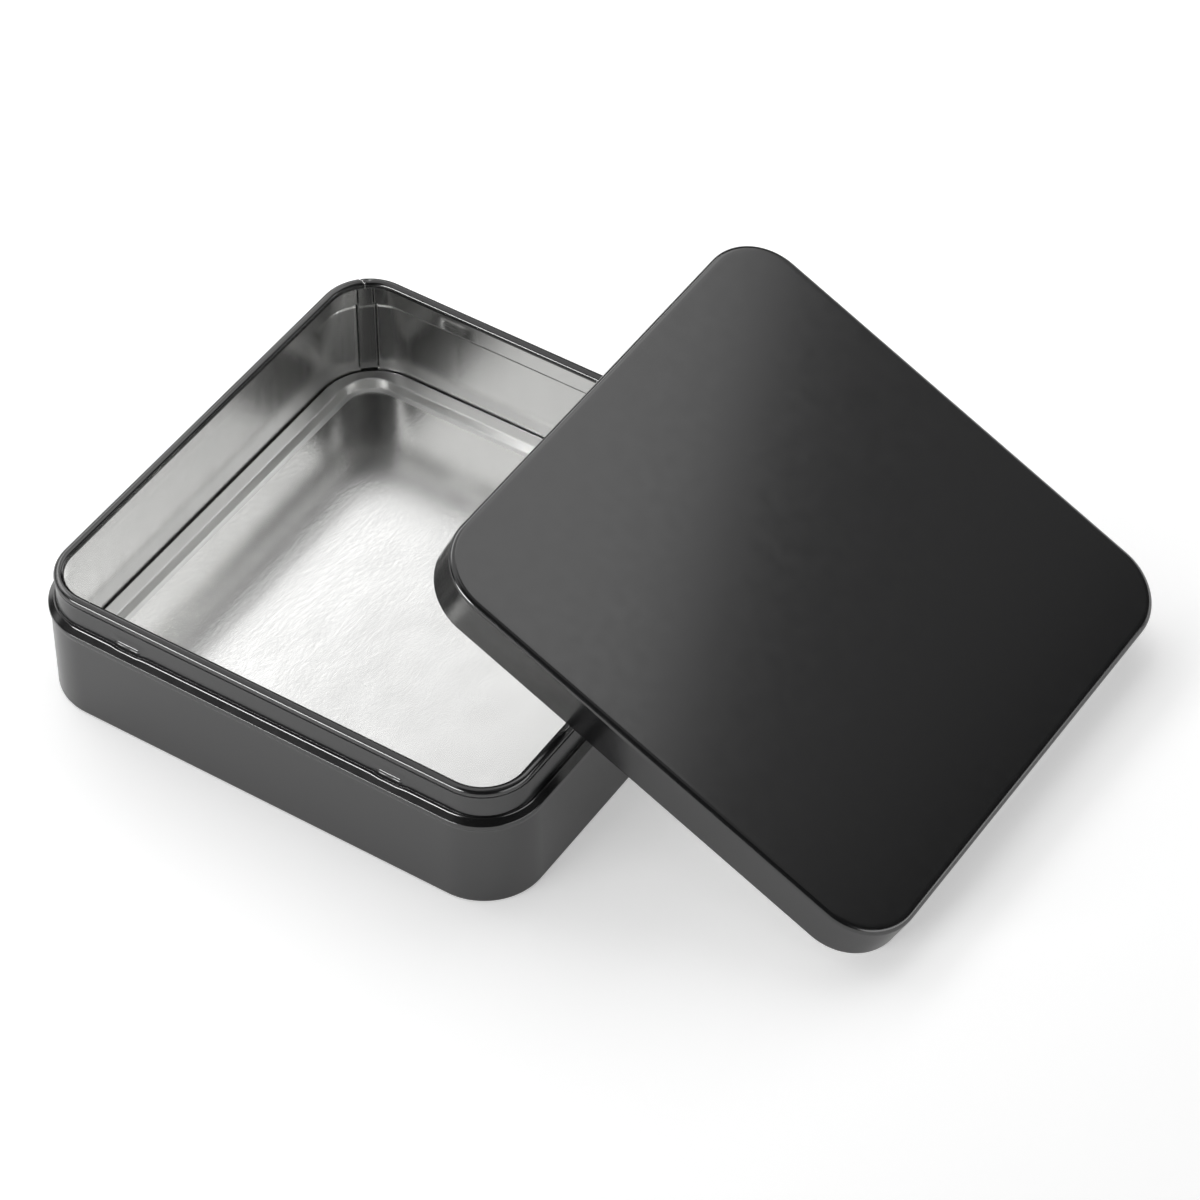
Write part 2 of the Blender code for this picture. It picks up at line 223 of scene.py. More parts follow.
def bent(corners, steps):
    """Rows (inset, height, centre): each corner is an arc of its bend radius, tangent to both runs.

    With h half the angle between the runs, an arc starts radius / tan(h) from its corner, and
    its centre lies radius / sin(h) from the corner, along the line that halves the angle.
    """
    rows = [corners[0, [0, 1, 3]]]
    for k in range(1, len(corners) - 1):
        here, radius, centre = corners[k, :2], corners[k, 2], corners[k, 3]
        if radius == 0:
            rows.append(corners[k, [0, 1, 3]])
            continue
        room_back = np.linalg.norm(corners[k - 1, :2] - here)
        room_ahead = np.linalg.norm(corners[k + 1, :2] - here)
        back = (corners[k - 1, :2] - here) / room_back
        ahead = (corners[k + 1, :2] - here) / room_ahead
        half_angle = math.acos(np.clip(back @ ahead, -1, 1)) / 2
        tangent = radius / math.tan(half_angle)
        halving = (back + ahead) / np.linalg.norm(back + ahead)
        middle = here + halving * radius / math.sin(half_angle)
        start = here + back * tangent - middle
        sign = np.sign(back[1] * ahead[0] - back[0] * ahead[1])
        sweep = sign * np.linspace(0, math.pi - 2 * half_angle, steps + 1)
        arc = np.column_stack((start[0] * np.cos(sweep) - start[1] * np.sin(sweep),
                               start[0] * np.sin(sweep) + start[1] * np.cos(sweep))) + middle
        if room_back > 2 * (tangent + guard):
            arc = np.vstack((here + back * (tangent + guard), arc))
        if room_ahead > 2 * (tangent + guard):
            arc = np.vstack((arc, here + ahead * (tangent + guard)))
        rows.extend(np.column_stack((arc, np.full(len(arc), centre))))
    rows.append(corners[-1, [0, 1, 3]])
    return np.array(rows)


def curl(inset, height, radius, start, end, steps, centre):
    """Rows on a circle round (inset, height), from angle start to angle end."""
    a = np.linspace(start, end, steps + 1)
    across = inset + radius * np.cos(a)
    return np.column_stack((across, height + radius * np.sin(a), np.full(len(a), centre)))


def spread(low, high, count, inset, centre):
    """Rows straight up a wall at one inset."""
    heights = np.linspace(low, high, count)
    return np.column_stack((np.full(count, inset), heights, np.full(count, centre)))


one_bend = np.array(((0, 0, 0, 0), (0, 5 * mm, mm, 0), (5 * mm, 5 * mm, 0, 0)))
print("a 1 mm bend in six steps has", len(bent(one_bend, 6)), "rows")

# %% [markdown]
# ## From grids to pieces
#
# A grid of positions becomes quads between neighbouring stations. A tube section joins its last
# row to its first. A pan section stays open, and its two ends shrink towards the middle of the
# panel in rings, which makes room for the slight bulge that a pressed panel has, and end in one
# small face.

# %% Grid to mesh
def grid_faces(stations, rows, closed):
    """Index quads between station k and k + 1, row j and j + 1, wound to face outwards."""
    k = np.arange(stations)[:, None]
    j = np.arange(rows if closed else rows - 1)[None, :]
    here, there = k * rows, (k + 1) % stations * rows
    after = (j + 1) % rows
    return np.stack((here + after, here + j, there + j, there + after), -1).reshape(-1, 4)


def add_mesh(name, grid, closed, first_rows):
    """A piece from a grid; faces from first_rows[0] up to first_rows[1] take its first material.

    The other faces take its second material. An open grid also gets a face at each end.
    """
    stations, rows = grid.shape[:2]
    quads = grid_faces(stations, rows, closed)
    station = np.arange(stations)
    caps = [] if closed else [station[::-1] * rows, station * rows + rows - 1]
    loops = np.concatenate([quads.reshape(-1)] + caps)
    totals = np.concatenate((np.full(len(quads), 4), [len(cap) for cap in caps])).astype(int)
    starts = np.concatenate(([0], np.cumsum(totals)[:-1]))
    mesh = bpy.data.meshes.new(name)
    mesh.vertices.add(stations * rows)
    mesh.vertices.foreach_set("co", grid.reshape(-1).astype(np.float32))
    mesh.loops.add(len(loops))
    mesh.loops.foreach_set("vertex_index", loops.astype(np.int32))
    mesh.polygons.add(len(totals))
    mesh.polygons.foreach_set("loop_start", starts.astype(np.int32))
    per_station = rows if closed else rows - 1
    row = np.concatenate((np.tile(np.arange(per_station), stations), [0] * len(caps)))
    second = (row < first_rows[0]) | (row >= first_rows[1])
    if caps:
        second[-1] = first_rows[1] < rows - 1
        second[-2] = first_rows[0] > 0
    mesh.polygons.foreach_set("material_index", second.astype(np.int32))
    mesh.update(calc_edges=True)
    mesh.validate()
    mesh.shade_smooth()
    piece = bpy.data.objects.new(name, mesh)
    bpy.context.scene.collection.objects.link(piece)
    print(name, len(mesh.polygons), "faces")
    return piece


def panel_rings(edge_ring, shares, crown):
    """Rings of a panel inside its edge ring: share s scales the ring.

    With x and y as shares of the panel's half width, height rises by crown * (1 - x2)(1 - y2).
    """
    scaled = edge_ring[:, None, :2] * shares[None, :, None]
    reach = abs(edge_ring[:, :2]).max()
    swell = np.prod(1 - (scaled / reach) ** 2, axis=2)
    base = np.prod(1 - (edge_ring[:, None, :2] / reach) ** 2, axis=2)
    height = edge_ring[:, None, 2] + crown * (swell - base)
    return np.concatenate((scaled, height[:, :, None]), 2)


print("a closed grid of 3 stations and 4 rows has", len(grid_faces(3, 4, True)), "quads")

# %% [markdown]
# ## The body
#
# The body is one strip of tinplate. From the bottom it has an upturned leg, which the bottom
# plate hooks over, a hem that turns in under the tin, the wall, a bead that stands slightly
# proud of it, a sloping shoulder with a fine ridge at its top, the neck on which the lid slips,
# and the curl that hides the cut edge. The section follows the sheet in that order along its
# painted face, and back along its bare face. The bare face is moved in a little behind the bead,
# which shows less on the inside than on the outside.

# %% The body's section
base_height = body_high.z - body_low.z
bead_bulge = 0.5 * mm
bead_top = base_height - 10.5 * mm
bead_low = bead_top - 1.25 * mm
bead_start = bead_low - 0.75 * mm
bead_fill = 0.35 * mm
neck_inset = 2.33 * mm
neck_foot = base_height - 9.05 * mm
neck_lean = 0.38 * mm
neck_centre = wall_radius - 0.9 * mm
ridge_insets = (0.98 * mm, 1.15 * mm, 1.4 * mm)
ridge_heights = (neck_foot - 0.07 * mm, neck_foot + 0.17 * mm, neck_foot + 0.17 * mm - 0.08 * mm)
curl_radius = 1.385 * mm
curl_inset = neck_inset + curl_radius - 0.37 * mm
curl_height = base_height - curl_radius
curl_end = math.radians(-100)
neck_high = curl_height - curl_radius
flare_height = 1.37 * mm
flare_angle = math.radians(24)
ledge_height = 3.7 * mm
riser_top_inset = 5.0 * mm
riser_top_centre = riser_top_inset + 10.0 * mm
seat_gap = 0.3 * mm
leg_inset = riser_top_inset - sheet - seat_gap
leg_top = ledge_height - sheet - seat_gap

# Each row is one bend: inset, height, bend radius, and inset of the centre of the tin's corner.
painted_corners = np.array((
    (leg_inset, leg_top, 0, riser_top_centre),
    (leg_inset, 0, 0.7 * mm, riser_top_centre),
    (0, 0, 1.1 * mm, wall_radius),
    (0, bead_start, 1.2 * mm, wall_radius),
    (-bead_bulge, bead_low, 0.7 * mm, wall_radius),
    (-bead_bulge, bead_top, 0.45 * mm, wall_radius),
    (ridge_insets[0], ridge_heights[0], 0.2 * mm, wall_radius),
    (ridge_insets[1], ridge_heights[1], 0.12 * mm, wall_radius),
    (ridge_insets[2], ridge_heights[2], 0.2 * mm, wall_radius),
    (neck_inset - neck_lean, neck_foot, 0.1 * mm, neck_centre),
    (neck_inset, neck_high, 0, neck_centre),
))
bead_corners = slice(4, 6)
neck_foot_corner = -2
bare_corners = other_face(painted_corners, sheet)
bare_corners[bead_corners, 0] += bead_fill
bare_corners[neck_foot_corner] = (neck_inset + sheet, neck_foot - sheet, 0.03 * mm, neck_centre)

bend_steps = 5
flare_steps = 8
mid_wall = 15 * mm
fine_low, fine_high = neck_foot + 0.4 * mm, neck_foot + 3.0 * mm
plain_low, plain_high, plain_count = neck_foot + 3.2 * mm, neck_foot + 4.4 * mm, 6
seam_foot = ledge_height + 0.5 * mm
seam_foot_rows = spread(seam_foot, seam_foot + 0.6 * mm, 4, sheet, wall_radius)
seam_wall_rows = spread(seam_foot + 1.2 * mm, bead_start - 1.5 * mm, 12, sheet, wall_radius)


def body_face(corners, wall_rows, inset, lean, fine_count, radius, curl_steps):
    """One face of the strip: its bends, rows up the wall, rows up the neck, a flare and the curl.

    The wall's rows carry the seam, and the neck's fine rows the stop beads. The neck starts from
    inset and leans out towards its foot by lean, in proportion to the depth below the curl. The
    flare is a parabola: the inset changes with the square of the height's share, and meets the
    curl, a circle of the given radius.
    """
    rows = bent(corners, bend_steps)[:-1]
    split = int(np.argmax(rows[:, 1] > mid_wall)) if len(wall_rows) else 0
    neck_rows = np.vstack((spread(fine_low, fine_high, fine_count, inset, neck_centre),
                           spread(plain_low, plain_high, plain_count, inset, neck_centre)))
    neck_rows[:, 0] -= lean * (neck_high - neck_rows[:, 1]) / (neck_high - neck_foot)
    curl_start = math.pi + flare_angle
    rolled = curl(curl_inset, curl_height, radius, curl_start, curl_end, curl_steps, neck_centre)
    share = np.linspace(0, 1, flare_steps + 1)[:-1]
    flare_inset = inset + (rolled[0, 0] - inset) * share ** 2
    flare_rise = rolled[0, 1] - flare_height * (1 - share)
    flare_rows = np.column_stack((flare_inset, flare_rise, np.full(len(share), neck_centre)))
    return np.vstack((rows[:split], wall_rows, rows[split:], neck_rows, flare_rows, rolled))


painted_face = body_face(
    painted_corners, np.zeros((0, 3)), neck_inset, neck_lean,
    fine_count=28, radius=curl_radius, curl_steps=28)
bare_face = body_face(
    bare_corners, np.vstack((seam_foot_rows, seam_wall_rows)), neck_inset + sheet, 0,
    fine_count=20, radius=curl_radius - sheet, curl_steps=14)
body_rows = np.vstack((painted_face, bare_face[::-1]))
is_bare = np.arange(len(body_rows)) >= len(painted_face)
print("rows", len(painted_face), "painted and", len(bare_face), "bare")

# %% [markdown]
# Four small stop beads are pressed out of the neck so that the lid grips. Each is the fine
# raised outline of a short slot, closed in the middle by a bridge, on a wide low swelling. The
# swelling also slides the shoulder's edge down along its own slope, so that the shoulder bows
# under each bead but mirrors the same part of the room.
#
# In the back left corner the strip's two ends lap over each other. The lap shows inside as a
# flat band with a shallow groove along each side, and above it the ends of the curl meet in a
# slanting slit with a small dent beside it.

# %% Stop beads, lap seam and the slit in the rim
stop_places = {3: (-41.8 * mm, 39.6 * mm), 1: (-39.6 * mm, 41.8 * mm)}
stop_height = neck_foot + 1.75 * mm

# Stations on other sides and corners count as a metre away, where every bell curve is zero.
elsewhere = 1.0

# The stop bead's outline and its bridge.
slot_half = 3.1 * mm
line_off, line_width, line_rise = 0.45 * mm, 0.22 * mm, 0.19 * mm
bridge_share, bridge_width, bridge_height = 0.8, 0.4 * mm, 0.3 * mm
bare_share = 0.25

# The swelling round it, and how it fades over the shoulder.
swell_rise = 0.26 * mm
swell_half, swell_fade = 2.4 * mm, 3.4 * mm
swell_above, swell_above_fade = 0.8 * mm, 1.8 * mm
shoulder_share, shoulder_fade = 0.8, 1.8 * mm
neck_side = 1.6 * mm
shoulder_slope, drop_fade = 0.93, 1.2 * mm

# The lap seam's band and its grooves.
seam_corner = 2
seam_half = 2.35 * mm
seam_rise, seam_edge, seam_edge_fade = 0.3 * mm, 0.1 * mm, 0.2 * mm
groove_off, groove_width, groove_depth = 0.3 * mm, 0.22 * mm, 0.24 * mm
seam_fade = 0.5 * mm

# The slit in the curl and its dent, as shares of the curl's radius.
slit_share, slit_width, slit_taper = 0.2, 0.34 * mm, 0.1 * mm
dent_share, dent_width = 0.14, 0.55 * mm
curl_slack = 1.01


def from_left(degrees):
    """Angle within the back left corner, of a place so many degrees from the left wall."""
    return math.radians(90 - degrees)


seam_angle = from_left(51.2)
slit_outer, slit_inner = from_left(44.6), from_left(51.1)
dent_angle = from_left(55.8)


def smooth(x):
    """0 below 0, 1 above 1 and 3x2 - 2x3 between."""
    x = np.clip(x, 0, 1)
    return x * x * (3 - 2 * x)


def stop_beads(path, rows):
    """Outward push of the beads, and the drop of the shoulder's edge below them.

    The outline is a bell curve of the distance to a level line of twice slot_half, with its peak
    line_off away from it, so it draws a slot. The bridge is a small bell in the slot's middle.
    The bare face gets only a share of both. The drop is the swelling times the shoulder's slope,
    so that the shoulder keeps its slope.
    """
    push = np.zeros((len(path.place), len(rows)))
    swelling = np.zeros((len(path.place), len(rows)))
    inset, height = rows[:, 0], rows[:, 1]
    near_shoulder = (height > bead_top) & (height < neck_high)
    on_neck = near_shoulder & (inset > neck_side)
    sharpness = np.where(is_bare, bare_share, 1)
    fade_up = 1 - smooth((height - stop_height - swell_above) / swell_above_fade)
    fade_out = np.clip((inset + bead_bulge) / shoulder_fade, 0, 1) * shoulder_share
    fade_out = np.where(on_neck, 1, fade_out)
    for side, centres in stop_places.items():
        for centre in centres:
            on_side = path.place[:, 0] == side
            off = np.where(on_side, abs(path.place[:, 1] - centre), elsewhere)[:, None]
            wide = 1 - smooth((off - swell_half) / swell_fade)
            wide = wide * (fade_up * fade_out * near_shoulder)[None, :]
            reach = np.hypot(np.maximum(off - slot_half, 0), (height - stop_height)[None, :])
            outline = np.exp(-((reach - line_off) / line_width) ** 2)
            bridge = np.exp(-(off / bridge_width) ** 2 - (reach / bridge_height) ** 2)
            line = outline + bridge_share * bridge
            swelling += swell_rise * wide
            push += swell_rise * wide + line_rise * line * (on_neck * sharpness)[None, :]
    low_neck = np.where(on_neck, 1 - smooth((height - neck_foot) / drop_fade), 1)
    return push, swelling * low_neck * shoulder_slope


def lap_seam(path, rows):
    """Inward push of the bare face: a band over the lap, less a groove along each of its edges."""
    here = path.angle[:, 0] == seam_corner
    off = abs(path.angle[:, 1] - seam_angle) * (wall_radius - sheet)
    off = np.where(here, off, elsewhere)[:, None]
    band = 1 - smooth((off - seam_half + seam_edge) / seam_edge_fade)
    groove = np.exp(-((off - seam_half - groove_off) / groove_width) ** 2)
    height = rows[:, 1]
    tall = smooth((height - seam_foot) / seam_fade) * (height < neck_high)
    return (seam_rise * band - groove_depth * groove) * (tall * is_bare)[None, :]


def rim_slit(path, rows):
    """Share by which the curl shrinks towards its centre: a slanting slit and a dent beside it."""
    here = path.angle[:, 0] == seam_corner
    angle = np.where(here, path.angle[:, 1], -1)[:, None]
    inset = rows[:, 0] - curl_inset
    across = np.clip((inset + curl_radius) / (2 * curl_radius), 0, 1)[None, :]
    centre = slit_outer + (slit_inner - slit_outer) * across
    run = neck_centre - curl_inset
    slit_off = (angle - centre) * run
    slit = slit_share * np.exp(-(slit_off / (slit_width - slit_taper * across)) ** 4)
    dent_off = np.hypot((angle - dent_angle) * run, inset[None, :])
    dent = dent_share * np.exp(-(dent_off / dent_width) ** 2)
    on_curl = np.hypot(inset, rows[:, 1] - curl_height) < curl_radius * curl_slack
    return (slit + dent) * on_curl[None, :]


print("stop beads", round(stop_height / mm, 2), "mm up")
print("seam", round(math.degrees(seam_angle), 1), "degrees round its corner")

# %% [markdown]
# The stations come closer together where this detail is: across the slit, at the seam's edges
# and across each stop bead. The slit shows the cut edge, so the faces in it are bare metal. The
# faces in each groove of the seam take the black paint, as painted shade for the shadowed gap
# along the lap.

# %% Body
angle_digits = 5
least_gap = 1 * mm
slit_zone = np.linspace(from_left(57.5), from_left(43.6), 36)
edge_steps = np.linspace(-0.3, 0.6, 10) * mm
seam_zone = np.concatenate([seam_angle + side * (seam_half + edge_steps) / wall_radius
                            for side in (-1, 1)])
body_corners = even_corners()
seam_stations = np.concatenate((body_corners[0], slit_zone, seam_zone))
body_corners[seam_corner] = np.unique(np.round(seam_stations, angle_digits))

swell_steps = np.linspace(-8, -4.8, 4)
line_steps = np.linspace(-4.4, -2.4, 10)
bridge_steps = (-1.2, -0.5, 0)
half_steps = np.concatenate((swell_steps, line_steps, bridge_steps))
stop_steps = np.concatenate((half_steps, -half_steps[:-1])) * mm
body_sides = even_sides()
for side, centres in stop_places.items():
    sign = side_along[side].sum()
    added = sign * np.concatenate([centre + stop_steps for centre in centres])
    apart = abs(body_sides[side][:, None] - added[None, :]).min(1) > least_gap
    body_sides[side] = np.sort(np.concatenate((body_sides[side][apart], added)))

body_path = Path(body_corners, body_sides)
stop_push, stop_drop = stop_beads(body_path, body_rows)
body_push = lap_seam(body_path, body_rows) - stop_push
body_grid = body_path.carry(body_rows, body_push, -stop_drop)
shrink = rim_slit(body_path, body_rows)
curl_rows = np.tile((curl_inset, curl_height, neck_centre), (len(body_rows), 1))
body_grid += (body_path.carry(curl_rows) - body_grid) * shrink[:, :, None]
body = add_mesh("tin_body", body_grid, True, (0, len(painted_face) - 1))

# %% Bare slit and painted shade in the seam's grooves
bare_slit_share = 0.17
# Half width of the painted shade along each groove of the seam: faces there take the black paint.
groove_shade_half = 0.16 * mm


def between(mask):
    """True where an entry and the next one are both in the mask, as the face between them is."""
    return mask & np.roll(mask, -1, 0)


in_slit = between(shrink > bare_slit_share)
seam_off = abs(body_path.angle[:, 1] - seam_angle) * (wall_radius - sheet) - seam_half - groove_off
by_seam = (body_path.angle[:, 0] == seam_corner) & (abs(seam_off) < groove_shade_half)
up_wall = (body_rows[:, 1] > seam_foot + seam_fade) & (body_rows[:, 1] < neck_high) & is_bare
painted_groove_shade = between(by_seam)[:, None] & between(up_wall)[None, :]
finish_index = np.zeros(len(body.data.polygons), np.int32)
body.data.polygons.foreach_get("material_index", finish_index)
# Faces in the seam's grooves take the black paint: painted shade for the shadowed gap of the lap.
finish_index = np.maximum(finish_index, in_slit.reshape(-1)) * ~painted_groove_shade.reshape(-1)
body.data.polygons.foreach_set("material_index", finish_index.astype(np.int32))
print("bare faces in the slit", int(in_slit.sum()))
print("painted faces in the seam's grooves", int(painted_groove_shade.sum()))

# %% [markdown]
# ## The bottom plate
#
# The bottom is stamped with a raised edge, dropped in from above and folded over the body's hem.
# From inside it shows a flat ledge, a steep riser and a floor that lies almost on the table. Its
# panel sags very slightly, which bends the reflections of the walls in it.

# %% Bottom plate
hook_inset = sheet + 0.4 * mm
hook_foot = 1.1 * mm
floor_height = 1.0 * mm
riser_foot_inset = 5.8 * mm
riser_foot_centre = riser_foot_inset + 9.7 * mm
panel_inset = riser_foot_inset + 1.5 * mm
plate_crown = -0.15 * mm
plate_bend_steps = 6
smallest_ring, ring_count = 0.02, 30
panel_shares = np.linspace(1, smallest_ring, ring_count)[1:]

# Each row is one bend: inset, height, bend radius, and inset of the centre of the tin's corner.
plate_corners = np.array((
    (hook_inset, hook_foot, 0, wall_radius),
    (hook_inset, ledge_height, 0.6 * mm, wall_radius),
    (riser_top_inset, ledge_height, 0.5 * mm, riser_top_centre),
    (riser_foot_inset, floor_height, 0.4 * mm, riser_foot_centre),
    (panel_inset, floor_height, 0, riser_foot_centre),
))
plate_top = bent(plate_corners, plate_bend_steps)
plate_under = bent(other_face(plate_corners, sheet), plate_bend_steps)
plain_path = Path(even_corners(), even_sides())


def pan_grid(path, under, top, crown):
    """Rings from the middle of the lower face out, over the edge and back to the middle on top."""
    under_grid, top_grid = path.carry(under), path.carry(top)
    under_panel = panel_rings(under_grid[:, -1], panel_shares, crown)
    top_panel = panel_rings(top_grid[:, -1], panel_shares, crown)
    return np.concatenate((under_panel[:, ::-1], under_grid[:, ::-1], top_grid, top_panel), 1)


plate_grid = pan_grid(plain_path, plate_under, plate_top, plate_crown)
first_fold = len(panel_shares) + len(plate_under)
plate = add_mesh("tin_bottom", plate_grid, False, (first_fold, first_fold + len(plate_top) - 1))

# %% [markdown]
# ## The lid
#
# The lid is drawn from one sheet. Its flat top meets the skirt in a round fold, and the skirt
# ends in a small curl that turns inwards. It is made flat, as the tool makes it, and then turned
# and set down where the frame's lid is. Its tilt is that of a line from the table, 84.7 mm away
# from the wall, to a point 3.2 mm above the rim.

# %% Lid
lid_height = 13.3 * mm
lid_radius = 16.35 * mm
lid_fold = 1.64 * mm
lid_fold_steps = 12
lid_curl = 0.75 * mm
lid_curl_start = math.radians(70)
lid_curl_steps = 14
lid_corners = np.array((
    (0, lid_curl, 0, lid_radius),
    (0, lid_height, lid_fold, lid_radius),
    (lid_fold + 1.0 * mm, lid_height, 0, lid_radius),
))


def lid_face(corners, radius):
    """One face of the lid: its curl from the cut edge round to the skirt, then up to the top."""
    rolled = curl(lid_curl, lid_curl, radius, lid_curl_start, -math.pi, lid_curl_steps, lid_radius)
    skirt_foot = rolled[-1:] + (0, guard, 0)
    return np.vstack((rolled, skirt_foot, bent(corners, lid_fold_steps)[1:]))


lid_outside = lid_face(lid_corners, lid_curl)
lid_inside = lid_face(other_face(lid_corners, sheet), lid_curl - sheet)
lid_grid = pan_grid(plain_path, lid_inside, lid_outside, 0)

rim_gap = 3.2 * mm
foot_distance = 84.7 * mm
lid_back_shift = 33.1 * mm
tilt = math.atan((base_height + rim_gap) / (foot_distance + curl_inset))
lean = math.radians(0.955)
lid_turn = np.array(Matrix.Rotation(tilt, 3, "Y") @ Matrix.Rotation(lean, 3, "X"))
lid_right_shift = half_side + foot_distance - half_side * math.cos(tilt)
lid_grid = lid_grid @ lid_turn.T + np.array((lid_right_shift, lid_back_shift, 0))
lid_grid[:, :, 2] -= lid_grid[:, :, 2].min()
first_outside = len(panel_shares) + len(lid_inside)
lid = add_mesh("tin_lid", lid_grid, False, (first_outside, lid_grid.shape[1] - 1))

lid_low, lid_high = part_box("lid")
lid_points = lid_grid.reshape(-1, 3)
lid_miss = [abs(lid_points.min(0) - lid_low).max(), abs(lid_points.max(0) - lid_high).max()]
print("lid's low and high corners off by", [round(miss / mm, 3) for miss in lid_miss], "mm")

# %% [markdown]
# ## Finishes
#
# Outside is a satin black paint: nearly black by itself, so that what one sees is the room in
# its gloss. Inside is bare tinplate, a metal mirror blurred by the fine grain of the rolling
# mill. It comes in three versions: the body's wall, the panel of bottom and lid, and the
# bottom's fold, which the press has dulled. All four get their grain from one node group, which
# takes stretched coordinates and returns a height and a mask.

# %% Node group for grain
def new_group(name, inputs, outputs):
    """An empty shader group with named float or vector sockets."""
    group = bpy.data.node_groups.new(name, "ShaderNodeTree")
    for label, kind, value in inputs:
        socket = group.interface.new_socket(label, in_out="INPUT", socket_type=kind)
        if kind == "NodeSocketFloat":
            socket.default_value = value
    for label, kind in outputs:
        group.interface.new_socket(label, in_out="OUTPUT", socket_type=kind)
    start = group.nodes.new("NodeGroupInput")
    end = group.nodes.new("NodeGroupOutput")
    return group, start, end


fine_detail, slow_detail = 3, 2
slow_scale_share = 0.12


def grain_group():
    """Height = fine noise + coarse * slow noise, where slow noise has 0.12 of the scale.

    Both are on the coordinates that come in. Mask is the slow noise.
    """
    number, vector = "NodeSocketFloat", "NodeSocketVector"
    group, start, end = new_group(
        "rolled_grain",
        (("Coordinates", vector, None), ("Scale", number, 900), ("Coarse", number, 0.5)),
        (("Height", number), ("Mask", number)))
    links = group.links
    fine = group.nodes.new("ShaderNodeTexNoise")
    fine.inputs["Detail"].default_value = fine_detail
    slow = group.nodes.new("ShaderNodeTexNoise")
    slow.inputs["Detail"].default_value = slow_detail
    slow_scale = group.nodes.new("ShaderNodeMath")
    slow_scale.operation = "MULTIPLY"
    slow_scale.inputs[1].default_value = slow_scale_share
    total = group.nodes.new("ShaderNodeMath")
    total.operation = "MULTIPLY_ADD"
    links.new(start.outputs["Coordinates"], fine.inputs["Vector"])
    links.new(start.outputs["Coordinates"], slow.inputs["Vector"])
    links.new(start.outputs["Scale"], fine.inputs["Scale"])
    links.new(start.outputs["Scale"], slow_scale.inputs[0])
    links.new(slow_scale.outputs[0], slow.inputs["Scale"])
    links.new(slow.outputs["Fac"], total.inputs[0])
    links.new(start.outputs["Coarse"], total.inputs[1])
    links.new(fine.outputs["Fac"], total.inputs[2])
    links.new(total.outputs[0], end.inputs["Height"])
    links.new(slow.outputs["Fac"], end.inputs["Mask"])
    return group


grain = grain_group()
print("group", grain.name)

# %% [markdown]
# The paint's base colour is a dark neutral, and its index of refraction sets how strongly it
# mirrors. Its bump is the faint orange peel of baked paint. The tinplate is full metal. Its
# grain runs up the walls and along Y on the panels, which is how the sheets lay in the mill, and
# has no direction on the fold.

# %% Paint and tinplate
mask_low, mask_high = 0.3, 0.7


def principled(name, color, metallic, ior):
    """A material whose Principled shader has these values on its own sockets."""
    material = bpy.data.materials.new(name)
    material.use_nodes = True
    shader = material.node_tree.nodes["Principled BSDF"]
    shader.inputs["Base Color"].default_value = (*color, 1)
    shader.inputs["Metallic"].default_value = metallic
    shader.inputs["IOR"].default_value = ior
    return material


def add_grain(material, stretch, scale, coarse, strength, depth, roughness):
    """Bump from the grain group, and roughness that drifts between two values with its mask.

    Stretch multiplies the coordinates, so that a small number draws the grain out along its
    axis. Depth is the height of the bump in metres.
    """
    nodes, links = material.node_tree.nodes, material.node_tree.links
    shader = nodes["Principled BSDF"]
    shader.inputs["Roughness"].default_value = sum(roughness) / 2
    place = nodes.new("ShaderNodeTexCoord")
    mapping = nodes.new("ShaderNodeMapping")
    mapping.inputs["Scale"].default_value = stretch
    texture = nodes.new("ShaderNodeGroup")
    texture.node_tree = grain
    texture.inputs["Scale"].default_value = scale
    texture.inputs["Coarse"].default_value = coarse
    bump = nodes.new("ShaderNodeBump")
    bump.inputs["Strength"].default_value = strength
    bump.inputs["Distance"].default_value = depth
    drift = nodes.new("ShaderNodeMapRange")
    drift.inputs["From Min"].default_value = mask_low
    drift.inputs["From Max"].default_value = mask_high
    drift.inputs["To Min"].default_value = roughness[0]
    drift.inputs["To Max"].default_value = roughness[1]
    links.new(place.outputs["Object"], mapping.inputs["Vector"])
    links.new(mapping.outputs["Vector"], texture.inputs["Coordinates"])
    links.new(texture.outputs["Height"], bump.inputs["Height"])
    links.new(bump.outputs["Normal"], shader.inputs["Normal"])
    links.new(texture.outputs["Mask"], drift.inputs["Value"])
    links.new(drift.outputs["Result"], shader.inputs["Roughness"])


paint = principled("satin_black_paint", (0.009, 0.009, 0.0094), metallic=0.0, ior=1.86)
add_grain(paint, stretch=(1, 1, 1), scale=2200, coarse=0.4,
          strength=0.03, depth=0.00001, roughness=(0.17, 0.21))
wall_tin = principled("tinplate_wall", (0.88, 0.88, 0.87), metallic=1.0, ior=1.5)
add_grain(wall_tin, stretch=(1, 1, 0.04), scale=2400, coarse=0.2,
          strength=1.0, depth=0.000009, roughness=(0.19, 0.24))
panel_tin = principled("tinplate_bottom", (0.9, 0.9, 0.89), metallic=1.0, ior=1.5)
add_grain(panel_tin, stretch=(1, 0.6, 1), scale=900, coarse=0.1,
          strength=1.0, depth=0.000026, roughness=(0.19, 0.23))
fold_tin = principled("tinplate_fold", (0.88, 0.88, 0.87), metallic=1.0, ior=1.5)
add_grain(fold_tin, stretch=(1, 1, 1), scale=1500, coarse=0.2,
          strength=1.0, depth=0.000002, roughness=(0.36, 0.4))
finishes = {body: (paint, wall_tin), plate: (fold_tin, panel_tin), lid: (paint, panel_tin)}
for piece, pair in finishes.items():
    for finish in pair:
        piece.data.materials.append(finish)
print("materials", sorted(m.name for m in bpy.data.materials))

